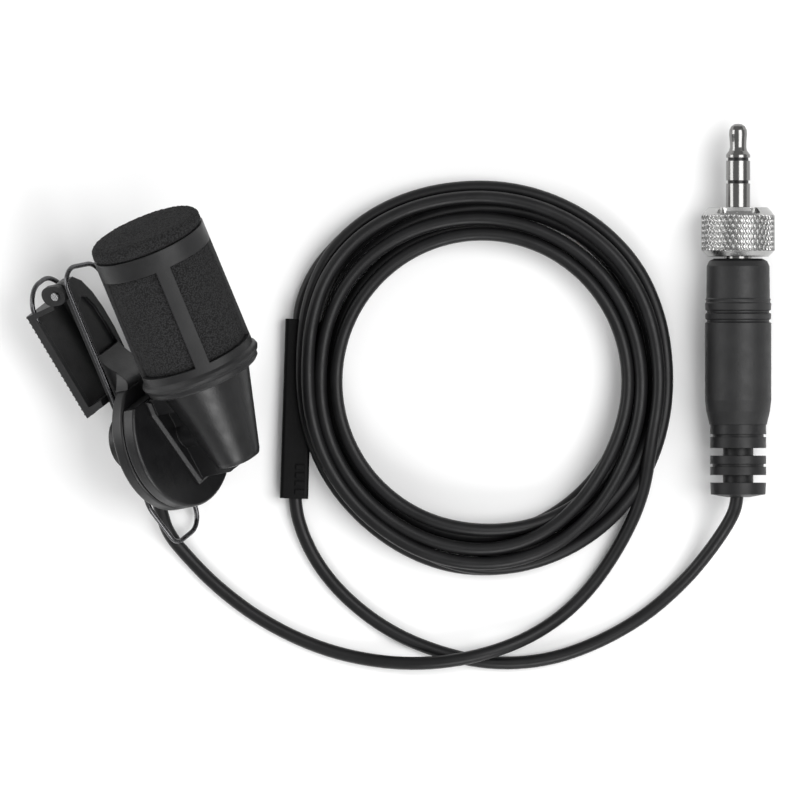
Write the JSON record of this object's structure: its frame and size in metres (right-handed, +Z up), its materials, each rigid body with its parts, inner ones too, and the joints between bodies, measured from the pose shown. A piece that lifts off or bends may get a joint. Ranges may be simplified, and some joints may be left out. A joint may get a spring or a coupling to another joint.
{
  "type": "lavalier microphone",
  "caption": "Clip-on lavalier microphone: swivelling head, caged foam windshield, sprung wire clip, and a thin coiled cable with a marker sleeve and a locking mini-jack plug.",
  "frame": {"origin": "centre of the box round the microphone and its clip, at the table; the cable, its marker sleeve and the plug are left out of that box", "axes": "+Z up from the table, +Y along the microphone and clip's longest extent, roughly where the head points, +X towards the coil and the plug"},
  "size_m": [0.1082, 0.079, 0.0313],
  "materials": {
    "housing_black": "satin black moulding",
    "lever_black": "matt black moulding, ribbed face",
    "cage_black": "satin black moulding",
    "foam_grey": "open-cell foam, dark grey",
    "can_nickel": "nickel-plated capsule can",
    "gauze_grey": "fine woven gauze",
    "membrane_silver": "metallised film",
    "backplate_brass": "turned brass",
    "holder_cream": "insulating moulding",
    "board_green": "lacquered circuit board",
    "chip_black": "moulded packages",
    "lead_red": "insulated strand",
    "steel_bright": "bright turned and pressed steel",
    "wire_steel": "bright spring wire",
    "cable_black": "matt black jacket",
    "marker_black": "matt black sleeve",
    "jack_bright": "bright nickel plate",
    "insulator_black": "black insulating rings",
    "ring_bright": "bright knurled metal",
    "shell_black": "semi-gloss black moulding",
    "relief_black": "black flexible moulding"
  },
  "bodies": {
    "clip": {"clip_base_disc": "housing_black", "clip_arm": "housing_black", "cable_gland": "housing_black", "plug_inner_leads": "lead_red", "pivot_pin": "steel_bright", "lock_ring_clip": "steel_bright", "plug_cable_clamp": "steel_bright", "wire_hoop": "wire_steel", "torsion_spring": "wire_steel", "cable_mic_lead": "cable_black", "cable_coil": "cable_black", "cable_marker_lead": "cable_black", "cable_plug_lead": "cable_black", "marker_sleeve": "marker_black", "plug_tip": "jack_bright", "plug_ring": "jack_bright", "plug_sleeve": "jack_bright", "plug_insulators": "insulator_black", "plug_shell": "shell_black", "plug_strain_relief": "relief_black"},
    "head": {"capsule_housing": "housing_black", "housing_end_cap": "housing_black", "capsule_can": "can_nickel", "acoustic_gauze": "gauze_grey", "diaphragm_ring": "membrane_silver", "diaphragm": "membrane_silver", "backplate": "backplate_brass", "backplate_holder": "holder_cream", "preamp_board": "board_green", "preamp_components": "chip_black", "lead_wires": "lead_red", "mic_saddle": "housing_black", "swivel_disc": "housing_black", "swivel_stud": "steel_bright", "swivel_circlip": "steel_bright", "swivel_washer": "steel_bright"},
    "windshield": {"windshield_cage": "cage_black", "windshield_foam": "foam_grey"},
    "lever": {"clip_lever": "lever_black", "handle_wire": "wire_steel"},
    "lock_ring": {"lock_ring": "ring_bright"}
  },
  "joints": [
    {"name": "head_swivel", "type": "hinge", "parent": "clip", "child": "head", "pos_m": [0.00237, -0.00909, 0.00843], "axis": [0.7675, 0.1481, 0.6237], "range_deg": [-20, 150]},
    {"name": "windshield_pull", "type": "slide", "parent": "head", "child": "windshield", "axis": [-0.3698, 0.8971, 0.2419], "range_m": [0, 0.025]},
    {"name": "lever_squeeze", "type": "hinge", "parent": "clip", "child": "lever", "pos_m": [-0.01029, 0.01287, 0.01181], "axis": [0.5237, 0.4163, -0.7433], "range_deg": [0, 20], "stiffness_Nm_per_rad": 0.05, "springref_deg": -28.65},
    {"name": "lock_ring_spin", "type": "hinge", "parent": "clip", "child": "lock_ring", "pos_m": [0.0859, 0.0239, 0.0053], "axis": [0, 1, 0], "continuous": true}
  ]
}
